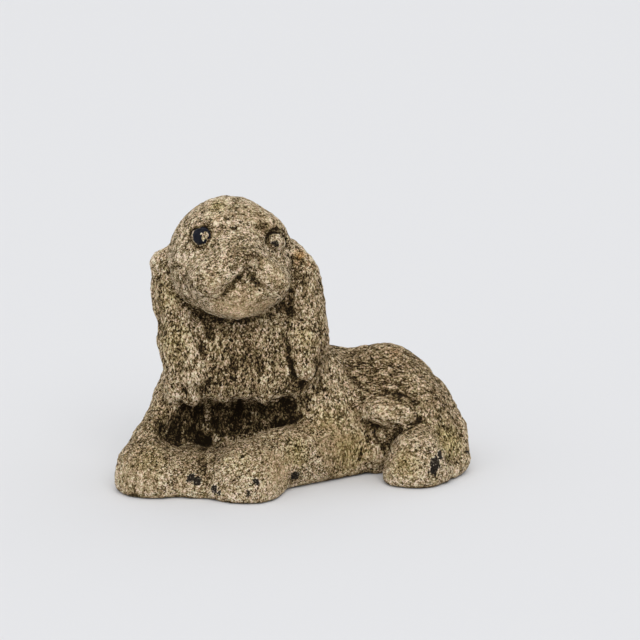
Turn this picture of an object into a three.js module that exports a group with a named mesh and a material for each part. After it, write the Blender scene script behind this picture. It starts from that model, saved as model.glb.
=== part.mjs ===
// A garden statue of a spaniel puppy lying down, cast in one piece in reconstituted stone.
//
// The frame has +Z up and its origin under the middle of the statue's box, on the ground.
// +X runs along the statue, towards the rump, and the puppy shows its side and looks out to -Y.
// The chest and the forepaws are at -X, the head is raised and turned a little towards +X.
//
// The figure is carved as a field of distances: soft balls and limbs flow into each other or meet
// in a crease, and the skin where the field is nought becomes the mesh.
import * as THREE from "three";

// The driving size, in millimetres. All other sizes are shares of it: the figure is drawn in units
// of its own, in which it is `drawnHeight` tall.
const statueHeight = 250;
const drawnHeight = 98.6;
const unitSize = statueHeight / drawnHeight;

// The mesh of the skin, in the figure's units: the spacing of the first coarse net, the shortest edge that
// is still split, and how far an edge may lie off the skin, on the body and on the head.
const netStep = 5;
const shortestSplit = 1.7;
const bodyCloseness = 0.3;
const headCloseness = 0.15;

// Small helpers for points, each a list of three numbers.
const add = (a, b) => [a[0] + b[0], a[1] + b[1], a[2] + b[2]];
const minus = (a, b) => [a[0] - b[0], a[1] - b[1], a[2] - b[2]];
const scaled = (a, s) => [a[0] * s, a[1] * s, a[2] * s];
const dot = (a, b) => a[0] * b[0] + a[1] * b[1] + a[2] * b[2];
const cross = (a, b) => [
  a[1] * b[2] - a[2] * b[1],
  a[2] * b[0] - a[0] * b[2],
  a[0] * b[1] - a[1] * b[0],
];
const length = (a) => Math.hypot(a[0], a[1], a[2]);
const unit = (a) => scaled(a, 1 / length(a));
const mix = (a, b, t) => a + (b - a) * t;
const radians = THREE.MathUtils.degToRad;

// The axes of a form that is rolled about Y, tilted about X and then turned about Z, in degrees.
function turned({ roll = 0, tilt = 0, turn = 0 }) {
  const euler = new THREE.Euler(radians(tilt), radians(roll), radians(turn), "ZXY");
  const matrix = new THREE.Matrix4().makeRotationFromEuler(euler);
  const axes = [new THREE.Vector3(), new THREE.Vector3(), new THREE.Vector3()];
  matrix.extractBasis(...axes);
  return axes.map((axis) => axis.toArray());
}

// How far a point lies outside an ellipsoid, from its offset and the ellipsoid's axes.
function outsideEllipsoid(offset, axes, rx, ry, rz) {
  const x = dot(offset, axes[0]) / rx;
  const y = dot(offset, axes[1]) / ry;
  const z = dot(offset, axes[2]) / rz;
  const near = Math.sqrt(x * x + y * y + z * z);
  const slope = Math.sqrt((x / rx) ** 2 + (y / ry) ** 2 + (z / rz) ** 2);
  return slope < 1e-9 ? -Math.min(rx, ry, rz) : (near * (near - 1)) / slope;
}

// A form with a ball round it: it answers Infinity where it is certainly further off than `limit`.
const offBall = 0.7;
const within = (centre, reach, form) => (p, limit) =>
  offBall * (Math.hypot(p[0] - centre[0], p[1] - centre[1], p[2] - centre[2]) - reach) > limit
    ? Infinity
    : form(p);

// A ball with three radii.
function ball({ at, radii, ...pose }) {
  const axes = turned(pose);
  return within(at, Math.max(...radii), (p) => outsideEllipsoid(minus(p, at), axes, ...radii));
}

// A limb through a row of stations. Each has its place, its half width along `across` and its
// half depth square to that.
function limb({ across, stations }) {
  const spans = stations.slice(1).map((end, i) => {
    const start = stations[i];
    const run = minus(end.at, start.at);
    const along = unit(run);
    const side = unit(minus(across, scaled(along, dot(across, along))));
    return { start, end, run, square: dot(run, run), axes: [side, cross(along, side), along] };
  });
  const centre = scaled(stations.map(({ at }) => at).reduce(add), 1 / stations.length);
  const reaches = stations.map(({ at, wide, deep }) => length(minus(at, centre)) + Math.max(wide, deep));
  return within(centre, Math.max(...reaches), (p) => {
    let least = Infinity;
    for (const { start, end, run, square, axes } of spans) {
      const offset = minus(p, start.at);
      const t = THREE.MathUtils.clamp(dot(offset, run) / square, 0, 1);
      const wide = mix(start.wide, end.wide, t);
      const deep = mix(start.deep, end.deep, t);
      const rest = minus(offset, scaled(run, t));
      least = Math.min(least, outsideEllipsoid(rest, axes, wide, deep, Math.min(wide, deep)));
    }
    return least;
  });
}

// The value of a field before its first form.
const farOff = 1e6;

// Two fields joined, or one cut out of the other, with a fillet of the given size.
function joined(a, b, fillet) {
  const close = Math.max(fillet - Math.abs(a - b), 0) / fillet;
  return Math.min(a, b) - (close * close * fillet) / 4;
}
const cutFrom = (a, tool, fillet) => -joined(-a, tool, fillet);

// The body, from the chest to the rump.
const bodyFillet = 8;
const bodyForms = [
  // chest and shoulders
  ball({ at: [-18, 0, 44], radii: [26.5, 20, 22] }),
  ball({ at: [-18, 6, 16], radii: [27, 17, 26] }),
  // neck
  limb({
    across: [1, 0, 0],
    stations: [
      { at: [-14, 6, 50], wide: 22, deep: 18 },
      { at: [-19, 5, 66], wide: 17, deep: 16 },
    ],
  }),
  // back and belly
  limb({
    across: [0, 1, 0],
    stations: [
      { at: [-8, 12, 26], wide: 20, deep: 23 },
      { at: [14, 14, 21], wide: 16, deep: 20.5 },
      { at: [33, 14, 18], wide: 18, deep: 20 },
    ],
  }),
  // rump
  ball({ at: [34, 12, 17], radii: [22, 21, 23.5] }),
  // the foot of the body, which stands straight on the ground
  limb({
    across: [0, 1, 0],
    stations: [
      { at: [-10, 12, 3], wide: 16, deep: 8 },
      { at: [18, 15, 3], wide: 13, deep: 8 },
      { at: [38, 14, 3], wide: 18, deep: 8 },
    ],
  }),
];

// The ground of stone between the forelegs, under the hollow.
const lapFillet = 3;
const lap = ball({ at: [-20, -10, 0], radii: [25, 17, 9] });

// The upper part of the far foreleg.
const farArmFillet = 5;
const farArm = limb({
  across: [1, 0, 0],
  stations: [
    { at: [-37, 3, 34], wide: 10, deep: 9 },
    { at: [-43, -8, 19], wide: 10.5, deep: 10 },
    { at: [-49, -22, 8], wide: 12.5, deep: 10 },
  ],
});

// The hollow under the mane, between the forelegs, and the crease over the knee.
const hollows = [
  { fillet: 6, form: ball({ at: [-24, -22, 20], radii: [23, 15, 9], roll: -5 }) },
  {
    fillet: 3,
    form: limb({
      across: [0, 1, 0],
      stations: [
        { at: [24, -13, 27], wide: 2, deep: 1.5 },
        { at: [37, -14, 31.5], wide: 3, deep: 1.7 },
        { at: [45, -13.5, 28.5], wide: 3.5, deep: 1.7 },
      ],
    }),
  },
];

// The legs and the tail, each with the fillet that it joins the body with.
const limbForms = [
  // upper arm of the near foreleg, down to its elbow
  {
    fillet: 9,
    form: limb({
      across: [1, 0, 0],
      stations: [
        { at: [8, 0, 34], wide: 10, deep: 9 },
        { at: [11, -4.5, 20], wide: 12, deep: 9.5 },
        { at: [11, -6, 5], wide: 16, deep: 9 },
      ],
    }),
  },
  // forearm and paw of the near foreleg
  {
    fillet: 3.5,
    form: limb({
      across: [0.45, -0.9, 0],
      stations: [
        { at: [10, -11, 9], wide: 9, deep: 12 },
        { at: [-5, -20, 9], wide: 9, deep: 12 },
        { at: [-16, -28, 7], wide: 11, deep: 11.5 },
      ],
    }),
  },
  { fillet: 3, form: ball({ at: [-16, -30, 3], radii: [14, 11.5, 15], turn: 30 }) },
  // paw of the far foreleg
  { fillet: 3, form: ball({ at: [-48.5, -24, 4], radii: [14, 13, 12.5], turn: -10 }) },
  // the web of stone between the paws
  { fillet: 4, form: ball({ at: [-32, -21, 2], radii: [14, 16, 12] }) },
  // haunch and hock
  { fillet: 6, form: ball({ at: [45, 1, 15], radii: [14, 13, 18], roll: -14 }) },
  // knee, a rounded pad that stands off the flank
  { fillet: 1.8, form: ball({ at: [35, -7, 23], radii: [12, 8, 5.6], roll: 12 }) },
  // hind foot
  {
    fillet: 2,
    form: limb({
      across: [1, 0, 0],
      stations: [
        { at: [46, -4, 4], wide: 10.5, deep: 15 },
        { at: [43.5, -15.5, 4], wide: 11, deep: 15.5 },
      ],
    }),
  },
  // tail, laid down the rump to the ground
  {
    fillet: 2.5,
    form: limb({
      across: [1, 0, 0],
      stations: [
        { at: [52, 8, 26], wide: 4.5, deep: 4.5 },
        { at: [58, 2, 15], wide: 5, deep: 5 },
        { at: [59, -5, 5], wide: 5, deep: 6 },
        { at: [56, -11, 2], wide: 4, deep: 5 },
      ],
    }),
  },
];

// The locks that fringe the lower edge of the mane, from the far side to the near side.
const lockFillet = 3;
const locks = [
  { at: [-30, -15, 36], radii: [4, 3.4, 6], roll: -10 },
  { at: [-24.5, -17, 35.5], radii: [3.6, 3.2, 7] },
  { at: [-17, -18, 36.5], radii: [4.6, 3.2, 6] },
  { at: [-10, -17.5, 35], radii: [3.6, 3.2, 6.8], roll: 4 },
  { at: [-4, -15.5, 36], radii: [4.4, 3.2, 6.4], roll: 10 },
  { at: [2.5, -12, 35.5], radii: [3.8, 3.4, 7], roll: 16 },
].map(ball);

// The head, carved in a frame of its own: the face looks to -Y, and left and right are alike.
const headPlace = { at: [-22, -2, 77.5], roll: 6.5, tilt: -20, turn: 13 };
const headForms = [
  // skull
  { fillet: 1, form: ball({ at: [0, 1, 0.5], radii: [22, 20.5, 21] }) },
  // cheeks
  { fillet: 4, form: ball({ at: [10, -6, -7], radii: [10.5, 11, 11] }) },
  // bridge of the muzzle, from the stop down to the nose
  {
    fillet: 2,
    form: limb({
      across: [1, 0, 0],
      stations: [
        { at: [0, -14.5, 1.5], wide: 9.5, deep: 7 },
        { at: [0, -21, -5.5], wide: 10.5, deep: 7.5 },
      ],
    }),
  },
  // flews, the hanging upper lips
  { fillet: 3, form: ball({ at: [8.8, -17, -10.5], radii: [8.5, 9.5, 8], roll: 14 }) },
  // lower jaw and chin
  { fillet: 2, form: ball({ at: [0, -10, -15.5], radii: [13, 12, 7] }) },
  { fillet: 4, form: ball({ at: [0, -15, -15.5], radii: [8, 8, 4.5] }) },
];

// Relief of the face, each item a place in the face's own X and Z that stands off or is sunk in.
const faceReach = -8;
const faceBumps = [
  // nose
  { at: [0, -4], radii: [5, 3.6], rise: 1.7 },
  // ball of the eye
  { at: [13.3, 4.4], radii: [3.8, 3.6], rise: 1.9 },
  // brow
  { at: [11, 9.8], radii: [7, 2.6], rise: 0.8 },
];
const faceRings = [
  // groove of the eyelids round the eye
  { at: [13.3, 4.4], radius: 4.2, half: 0.9, depth: 1.1 },
];
const faceLines = [
  // the lip, from under the nose to the corner of the mouth
  { half: 1.2, depth: 0.8, places: [[0, -10.4], [3.4, -12.2], [8.4, -15.4]] },
  // under the nose
  { half: 0.9, depth: 0.6, places: [[0, -7.6], [0, -10.4]] },
  // the crease under the chin
  { half: 1.2, depth: 1, places: [[0, -19.2], [6, -18.8], [11, -17]] },
];

// How far the face stands off at a place in the head's own frame.
function faceRise([x, y, z]) {
  if (y > faceReach) return 0;
  let rise = 0;
  for (const { at, radii, rise: top } of faceBumps) {
    const off = ((x - at[0]) / radii[0]) ** 2 + ((z - at[1]) / radii[1]) ** 2;
    rise += top * Math.exp(-(off ** 2));
  }
  for (const { at, radius, half, depth } of faceRings) {
    const off = (Math.hypot(x - at[0], z - at[1]) - radius) / half;
    rise -= depth * Math.exp(-off * off);
  }
  let sunk = 0;
  for (const { half, depth, places } of faceLines)
    places.slice(1).forEach((end, i) => {
      const start = places[i];
      const run = [end[0] - start[0], end[1] - start[1]];
      const share = ((x - start[0]) * run[0] + (z - start[1]) * run[1]) / (run[0] ** 2 + run[1] ** 2);
      const t = THREE.MathUtils.clamp(share, 0, 1);
      const off = Math.hypot(x - start[0] - t * run[0], z - start[1] - t * run[1]) / half;
      sunk = Math.max(sunk, depth * Math.exp(-off * off));
    });
  return rise - sunk;
}

// An ear, hung from the side of the head and laid over the neck and shoulder.
const earForms = [
  // far ear, which widens to a tufted end
  limb({
    across: [0.8, -0.6, 0],
    stations: [
      { at: [-42.5, 0, 77], wide: 6.5, deep: 5 },
      { at: [-44.5, -4, 66], wide: 7.5, deep: 5 },
      { at: [-40.5, -11, 50], wide: 9, deep: 5 },
      { at: [-37.5, -15, 37], wide: 9.5, deep: 4.5 },
    ],
  }),
  ball({ at: [-42, -12.5, 33], radii: [4, 4.5, 6], roll: -6 }),
  ball({ at: [-35.5, -14.5, 33], radii: [4, 4.5, 6.5] }),
  // near ear
  limb({
    across: [0.6, 0.8, 0],
    stations: [
      { at: [-1, 1, 80], wide: 5, deep: 4.5 },
      { at: [4, -1, 72], wide: 7, deep: 5 },
      { at: [5.5, -3, 62], wide: 8, deep: 5 },
      { at: [6.5, -9, 49], wide: 9, deep: 5 },
      { at: [4.5, -12.5, 38], wide: 6.5, deep: 4.5 },
    ],
  }),
];

// The head: how far a point lies outside it.
const headAxes = turned(headPlace);
function outsideHead(p) {
  const offset = minus(p, headPlace.at);
  const local = headAxes.map((axis) => dot(offset, axis));
  const half = [Math.abs(local[0]), local[1], local[2]];
  let skin = farOff;
  for (const { form, fillet } of headForms) {
    const next = form(half, skin + fillet);
    if (next < Infinity) skin = joined(skin, next, fillet);
  }
  return skin - faceRise(half);
}
const headReach = 34;
const headForm = within(headPlace.at, headReach, outsideHead);

// The whole figure: how far a point lies outside its skin.
const headFillet = 1.8;
const earFillet = 1.4;
const groundFillet = 1.5;
const steps = [
  ...bodyForms.map((form) => ({ form, fillet: bodyFillet })),
  { form: farArm, fillet: farArmFillet },
  ...hollows.map((hollow) => ({ ...hollow, cut: true })),
  { form: lap, fillet: lapFillet },
  ...limbForms,
  ...locks.map((form) => ({ form, fillet: lockFillet })),
  { form: headForm, fillet: headFillet },
  ...earForms.map((form) => ({ form, fillet: earFillet })),
];
function figure(p) {
  let skin = farOff;
  for (const { form, fillet, cut } of steps) {
    const next = form(p, cut ? fillet - skin : skin + fillet);
    if (next < Infinity) skin = cut ? cutFrom(skin, next, fillet) : joined(skin, next, fillet);
  }
  return cutFrom(skin, p[2], groundFillet);
}

// The closed net of a field on a grid of equal cells between two corners. Each cell that the skin
// passes through has one vertex, and each grid line that it crosses has one quad of two triangles.
function netOf(field, low, high, step) {
  const count = [0, 1, 2].map((d) => Math.ceil((high[d] - low[d]) / step) + 1);
  const node = (i, j, k) => (i * count[1] + j) * count[2] + k;
  const place = (i, j, k) => add(low, scaled([i, j, k], step));
  const value = new Float64Array(count[0] * count[1] * count[2]);
  for (let i = 0; i < count[0]; i++)
    for (let j = 0; j < count[1]; j++)
      for (let k = 0; k < count[2]; k++) value[node(i, j, k)] = field(place(i, j, k));

  // Where only two opposite corners of a square of the grid lie inside, the net would pinch, so the
  // corner nearest to the skin goes just over to the other side.
  const justOver = 1e-3;
  const axes = [[1, 0, 0], [0, 1, 0], [0, 0, 1]];
  for (let pinched = true; pinched; ) {
    pinched = false;
    for (let i = 0; i < count[0] - 1; i++)
      for (let j = 0; j < count[1] - 1; j++)
        for (let k = 0; k < count[2] - 1; k++)
          axes.forEach((u, d) => {
            const v = axes[(d + 1) % 3];
            const square = [[0, 0], [1, 0], [1, 1], [0, 1]].map(([a, b]) =>
              node(i + a * u[0] + b * v[0], j + a * u[1] + b * v[1], k + a * u[2] + b * v[2]),
            );
            const inside = square.map((corner) => value[corner] < 0);
            if (inside[0] !== inside[2] || inside[1] !== inside[3] || inside[0] === inside[1]) return;
            const nearest = square.reduce((a, b) => (Math.abs(value[b]) < Math.abs(value[a]) ? b : a));
            value[nearest] = value[nearest] < 0 ? justOver : -justOver;
            pinched = true;
          });
  }

  const vertexOf = new Map();
  const places = [];
  for (let i = 0; i < count[0] - 1; i++)
    for (let j = 0; j < count[1] - 1; j++)
      for (let k = 0; k < count[2] - 1; k++) {
        const corners = [0, 1, 2, 3, 4, 5, 6, 7].map((n) => [i + (n >> 2), j + ((n >> 1) & 1), k + (n & 1)]);
        const crossings = [];
        for (let n = 0; n < 8; n++)
          for (const bit of [1, 2, 4]) {
            if (n & bit) continue;
            const [a, b] = [corners[n], corners[n | bit]];
            const [va, vb] = [value[node(...a)], value[node(...b)]];
            if (va < 0 === vb < 0) continue;
            const t = va / (va - vb);
            crossings.push(add(scaled(place(...a), 1 - t), scaled(place(...b), t)));
          }
        if (!crossings.length) continue;
        vertexOf.set(node(i, j, k), places.length);
        places.push(scaled(crossings.reduce(add), 1 / crossings.length));
      }

  const triangles = [];
  for (let i = 1; i < count[0] - 1; i++)
    for (let j = 1; j < count[1] - 1; j++)
      for (let k = 1; k < count[2] - 1; k++)
        axes.forEach((axis, d) => {
          const here = value[node(i, j, k)] < 0;
          if (here === value[node(i + axis[0], j + axis[1], k + axis[2])] < 0) return;
          const [u, v] = [axes[(d + 1) % 3], axes[(d + 2) % 3]];
          const cell = (a, b) =>
            vertexOf.get(node(i - a * u[0] - b * v[0], j - a * u[1] - b * v[1], k - a * u[2] - b * v[2]));
          const ring = [cell(1, 1), cell(0, 1), cell(0, 0), cell(1, 0)];
          if (!here) ring.reverse();
          const [p, q, r, s] = ring;
          const first = length(minus(places[p], places[r]));
          const second = length(minus(places[q], places[s]));
          triangles.push(...(first < second ? [[p, q, r], [p, r, s]] : [[p, q, s], [q, r, s]]));
        });
  return { places, triangles };
}

// A place drawn along the field's slope until it lies on the skin, in rounds of at most one stride.
const nudge = 0.05;
const stride = 1.5;
const leastSlope = 0.5;
const feelers = [[1, 1, 1], [1, -1, -1], [-1, 1, -1], [-1, -1, 1]].map((way) => scaled(way, nudge));
function onSkin(p, rounds = 3) {
  let here = p;
  for (let round = 0; round < rounds; round++) {
    let slope = [0, 0, 0];
    let off = 0;
    for (const feeler of feelers) {
      const felt = figure(add(here, feeler));
      slope = add(slope, scaled(feeler, felt / (4 * nudge * nudge)));
      off += felt / 4;
    }
    const move = scaled(slope, -off / Math.max(dot(slope, slope), leastSlope ** 2));
    const share = Math.min(1, stride / Math.max(length(move), nudge));
    here = add(here, scaled(move, share));
  }
  return here;
}

// Each place moved to the middle of its neighbours and back onto the skin.
function evened(places, triangles) {
  const sums = places.map(() => [0, 0, 0]);
  const counts = places.map(() => 0);
  for (const corners of triangles)
    corners.forEach((a, n) => {
      const b = corners[(n + 1) % 3];
      sums[a] = add(sums[a], places[b]);
      counts[a]++;
    });
  return sums.map((sum, a) => onSkin(scaled(sum, 1 / counts[a]), 2));
}

// The edges of a mesh whose middle lies off the skin are split there, and so is the longest edge of
// every triangle that is split at all, round by round, until all edges are short or close.
function refined({ places, triangles }, rounds) {
  const edges = new Map();
  const keyOf = (a, b) => Math.min(a, b) * 1e6 + Math.max(a, b);
  function edgeOf(a, b) {
    const key = keyOf(a, b);
    if (!edges.has(key)) {
      const middle = scaled(add(places[a], places[b]), 0.5);
      const size = length(minus(places[a], places[b]));
      const at = size > shortestSplit ? onSkin(middle) : middle;
      const off = length(minus(at, middle));
      const closeness = length(minus(middle, headPlace.at)) < headReach ? headCloseness : bodyCloseness;
      edges.set(key, { at, size, split: size > shortestSplit && off > closeness, vertex: -1 });
    }
    return edges.get(key);
  }
  let faces = triangles;
  for (let round = 0; round < rounds; round++) {
    for (let grown = true; grown; ) {
      grown = false;
      for (const [a, b, c] of faces) {
        const sides = [edgeOf(a, b), edgeOf(b, c), edgeOf(c, a)];
        if (!sides.some((side) => side.split)) continue;
        const longest = sides.reduce((x, y) => (y.size > x.size ? y : x));
        if (longest.split) continue;
        if (longest.size <= shortestSplit) longest.at = onSkin(longest.at);
        longest.split = true;
        grown = true;
      }
    }
    faces = faces.flatMap((corners) => {
      const sides = corners.map((a, n) => edgeOf(a, corners[(n + 1) % 3]));
      const first = sides.reduce((best, side, n) => (side.size > sides[best].size ? n : best), 0);
      if (!sides[first].split) return [corners];
      const [a, b, c] = [0, 1, 2].map((n) => corners[(first + n) % 3]);
      const [ab, bc, ca] = [0, 1, 2].map((n) => {
        const side = sides[(first + n) % 3];
        if (side.split && side.vertex < 0) side.vertex = places.push(side.at) - 1;
        return side.vertex;
      });
      return [
        ...(ca < 0 ? [[a, ab, c]] : [[a, ab, ca], [ab, c, ca]]),
        ...(bc < 0 ? [[ab, b, c]] : [[ab, b, bc], [ab, bc, c]]),
      ];
    });
  }
  return { places, triangles: faces };
}

const net = netOf(figure, [-72, -50, -6], [72, 46, 108], netStep);
net.places = net.places.map((p) => onSkin(p, 4));
net.places = evened(net.places, net.triangles);
net.places = evened(net.places, net.triangles);
const mesh = refined(net, 5);

// The underside is flat on the ground, and the origin lies under the middle of the box.
const flat = 0.1;
const skin = mesh.places.map(([x, y, z]) => scaled([x, y, z < flat ? 0 : z], unitSize));
const middle = [0, 1].map((d) => {
  const along = skin.map((p) => p[d]);
  return (Math.min(...along) + Math.max(...along)) / 2;
});

const geometry = new THREE.BufferGeometry()
  .setAttribute("position", new THREE.Float32BufferAttribute(skin.flat(), 3))
  .setIndex(mesh.triangles.flat());
geometry.translate(-middle[0], -middle[1], 0);
geometry.computeVertexNormals();

const castStone = new THREE.MeshStandardMaterial({
  name: "weathered_cast_stone",
  color: new THREE.Color(0.42, 0.36, 0.26),
  roughness: 0.95,
  metalness: 0,
});
const spaniel = new THREE.Mesh(geometry, castStone);
spaniel.name = "spaniel_figure";

const statue = new THREE.Group();
statue.add(spaniel);

export default statue;
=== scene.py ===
"""Spaniel garden statue: the carving, grain, weather and paint of the cast stone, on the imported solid."""

import logging
import math
from dataclasses import dataclass, field
from enum import Enum
from typing import Any, Callable

import bmesh
import bpy
import numpy as np
from mathutils import Euler, Matrix, Vector, noise
from mathutils.bvhtree import BVHTree
from mathutils.kdtree import KDTree


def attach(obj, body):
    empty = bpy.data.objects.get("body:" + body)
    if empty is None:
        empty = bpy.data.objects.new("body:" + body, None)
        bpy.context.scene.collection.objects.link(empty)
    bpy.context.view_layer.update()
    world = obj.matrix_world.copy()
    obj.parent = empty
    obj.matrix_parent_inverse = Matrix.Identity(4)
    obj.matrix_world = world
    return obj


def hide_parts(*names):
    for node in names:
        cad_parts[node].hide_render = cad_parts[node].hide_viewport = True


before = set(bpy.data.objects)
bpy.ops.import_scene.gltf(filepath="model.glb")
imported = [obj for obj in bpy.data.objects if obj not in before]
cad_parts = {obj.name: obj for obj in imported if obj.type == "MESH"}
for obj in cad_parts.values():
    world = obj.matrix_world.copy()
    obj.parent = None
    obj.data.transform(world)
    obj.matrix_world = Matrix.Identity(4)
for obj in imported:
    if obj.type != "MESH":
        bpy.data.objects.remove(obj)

log = logging.getLogger("spaniel")

Pair = tuple[float, float]
Triple = tuple[float, float, float]
MM = 0.001
STATUE = "spaniel_figure"
STONE_SLOT = "weathered_cast_stone"
PIECE = "spaniel_casting"


def fade(distance: np.ndarray, reach: float | np.ndarray) -> np.ndarray:
    """A soft round fall from 1 at no distance to 0 at the reach."""
    share = np.clip(1 - (distance / reach) ** 2, 0, 1)
    return share * share


def step(values: np.ndarray, low: float, high: float) -> np.ndarray:
    """A smooth step from 0 at low to 1 at high."""
    share = np.clip((values - low) / (high - low), 0, 1)
    return share * share * (3 - 2 * share)


def unit(vectors: np.ndarray) -> np.ndarray:
    """Vectors brought to length one, along the last axis."""
    return vectors / np.maximum(np.linalg.norm(vectors, axis=-1, keepdims=True), 1e-12)


def wander(points: np.ndarray, wave: float) -> np.ndarray:
    """A soft random number from about -1 to 1 at each point, in waves of a length in millimetres."""
    return np.array([noise.noise(Vector(point)) for point in points / (wave * MM)])


@dataclass(frozen=True)
class PhotoCamera:
    """The camera at the photograph's viewing angle. Angles are in degrees, lengths in metres."""

    place: Triple = (-0.0017, -1.7360, 0.5338)
    pitch: float = 12.733
    yaw: float = 0.802
    lens: float = 111.63
    sensor: float = 36.0
    frame_px: int = 640

    def turn(self) -> Euler:
        """The camera's rotation."""
        return Euler((math.radians(90 - self.pitch), 0, math.radians(-self.yaw)))

    def build(self) -> bpy.types.Object:
        """Makes the camera and gives it to the scene.

        Returns:
            The camera object.
        """
        data = bpy.data.cameras.new("photo_camera")
        data.lens = self.lens
        data.sensor_width = self.sensor
        camera = bpy.data.objects.new("photo_camera", data)
        camera.location = self.place
        camera.rotation_euler = self.turn()
        bpy.context.scene.collection.objects.link(camera)
        bpy.context.scene.camera = camera
        return camera

    def ray(self, across: float, down: float) -> tuple[Vector, Vector]:
        """The line of sight through one pixel of the photograph.

        Args:
            across: Pixels from the photograph's left edge.
            down: Pixels from its top edge.

        Returns:
            The camera's place and the direction of the line.
        """
        half = self.frame_px / 2
        focal = self.lens * self.frame_px / self.sensor
        aim = Vector(((across - half) / focal, (half - down) / focal, -1))
        aim.rotate(self.turn())
        return Vector(self.place), aim.normalized()


@dataclass
class Studio:
    """The plain pale floor and the soft light round the statue."""

    floor_radius: float = 60.0
    floor_sides: int = 96
    floor_drop: float = 0.1 * MM
    floor_colour: Triple = (0.79, 0.793, 0.803)
    sky_colour: Triple = (0.955, 0.965, 0.99)
    sky_strength: float = 0.55

    def build(self) -> None:
        """Makes the floor, the lights and the surroundings."""
        self.floor()
        self.surroundings()
        self.lamp("key_light", (0.15, -0.85, 1.0), 50, 1.15)
        self.lamp("fill_light", (-0.9, -0.6, 0.7), 80, 0.40)
        self.lamp("top_light", (0.2, 0.35, 1.0), 70, 0.45)

    def floor(self) -> bpy.types.Object:
        """Makes the pale floor, a flat disc.

        Returns:
            The floor object.
        """
        mesh = bpy.data.meshes.new("pale_floor")
        shape = bmesh.new()
        bmesh.ops.create_circle(shape, cap_ends=True, segments=self.floor_sides, radius=self.floor_radius)
        shape.to_mesh(mesh)
        shape.free()
        floor = bpy.data.objects.new("pale_floor", mesh)
        floor.location.z = -self.floor_drop
        bpy.context.scene.collection.objects.link(floor)
        paper = Shader("pale_floor_paper")
        paper.finish({"Base Color": (*self.floor_colour, 1), "Roughness": 0.9, "Specular IOR Level": 0.2})
        mesh.materials.append(paper.material)
        return floor

    def surroundings(self) -> None:
        """Gives the scene an even, slightly cool sky."""
        world = bpy.data.worlds.new("studio_air")
        world.use_nodes = True
        background = world.node_tree.nodes["Background"]
        background.inputs["Color"].default_value = (*self.sky_colour, 1)
        background.inputs["Strength"].default_value = self.sky_strength
        bpy.context.scene.world = world

    def lamp(self, name: str, side: Triple, width: float, power: float) -> None:
        """Hangs one large soft lamp so far off that it lights the floor evenly.

        Args:
            name: The lamp's name.
            side: The direction from the statue to the lamp.
            width: How wide it looks from the statue, in degrees, so how soft its shadows are.
            power: How strongly it lights a surface that faces it.
        """
        data = bpy.data.lights.new(name, "SUN")
        data.angle = math.radians(width)
        data.energy = power
        lamp = bpy.data.objects.new(name, data)
        lamp.location = Vector(side).normalized() * 2
        lamp.rotation_euler = (-Vector(side)).to_track_quat("-Z", "Y").to_euler()
        bpy.context.scene.collection.objects.link(lamp)


class Value:
    """A number that varies over the surface: the output of one node, with Python's operators."""

    def __init__(self, shader: "Shader", socket: bpy.types.NodeSocket) -> None:
        """Keeps the shader and the socket."""
        self.shader = shader
        self.socket = socket

    def maths(self, operation: str, *terms: Any) -> "Value":
        """Adds one Math node.

        Args:
            operation: The node's operation.
            terms: Its inputs in order, as values or numbers.

        Returns:
            The node's output.
        """
        inputs = dict(enumerate(terms))
        return self.shader.node("ShaderNodeMath", {"operation": operation}, inputs).value()

    def __add__(self, other: Any) -> "Value":
        """Sum."""
        return self.maths("ADD", self, other)

    def __radd__(self, other: Any) -> "Value":
        """Sum with a number on the left."""
        return self.maths("ADD", other, self)

    def __sub__(self, other: Any) -> "Value":
        """Difference."""
        return self.maths("SUBTRACT", self, other)

    def __rsub__(self, other: Any) -> "Value":
        """Difference from a number on the left."""
        return self.maths("SUBTRACT", other, self)

    def __mul__(self, other: Any) -> "Value":
        """Product."""
        return self.maths("MULTIPLY", self, other)

    def __rmul__(self, other: Any) -> "Value":
        """Product with a number on the left."""
        return self.maths("MULTIPLY", other, self)

    def clear(self) -> "Value":
        """The value held between 0 and 1."""
        return self.maths("MAXIMUM", self.maths("MINIMUM", self, 1.0), 0.0)

    def over(self, low: float, high: float) -> "Value":
        """Adds a smooth step.

        Args:
            low: Where it leaves 0.
            high: Where it comes to 1.

        Returns:
            The step's output.
        """
        settings = {"interpolation_type": "SMOOTHSTEP"}
        inputs = {"Value": self, "From Min": low, "From Max": high}
        return self.shader.node("ShaderNodeMapRange", settings, inputs).value()


class Node:
    """One shader node and its outputs."""

    def __init__(self, shader: "Shader", node: bpy.types.Node) -> None:
        """Keeps the shader and the node."""
        self.shader = shader
        self.node = node

    def value(self, name: str | int = 0) -> Value:
        """One output as a value."""
        return Value(self.shader, self.node.outputs[name])

    def out(self, name: str | int = 0) -> bpy.types.NodeSocket:
        """One output as a plain socket, for colours and vectors."""
        return self.node.outputs[name]


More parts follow.
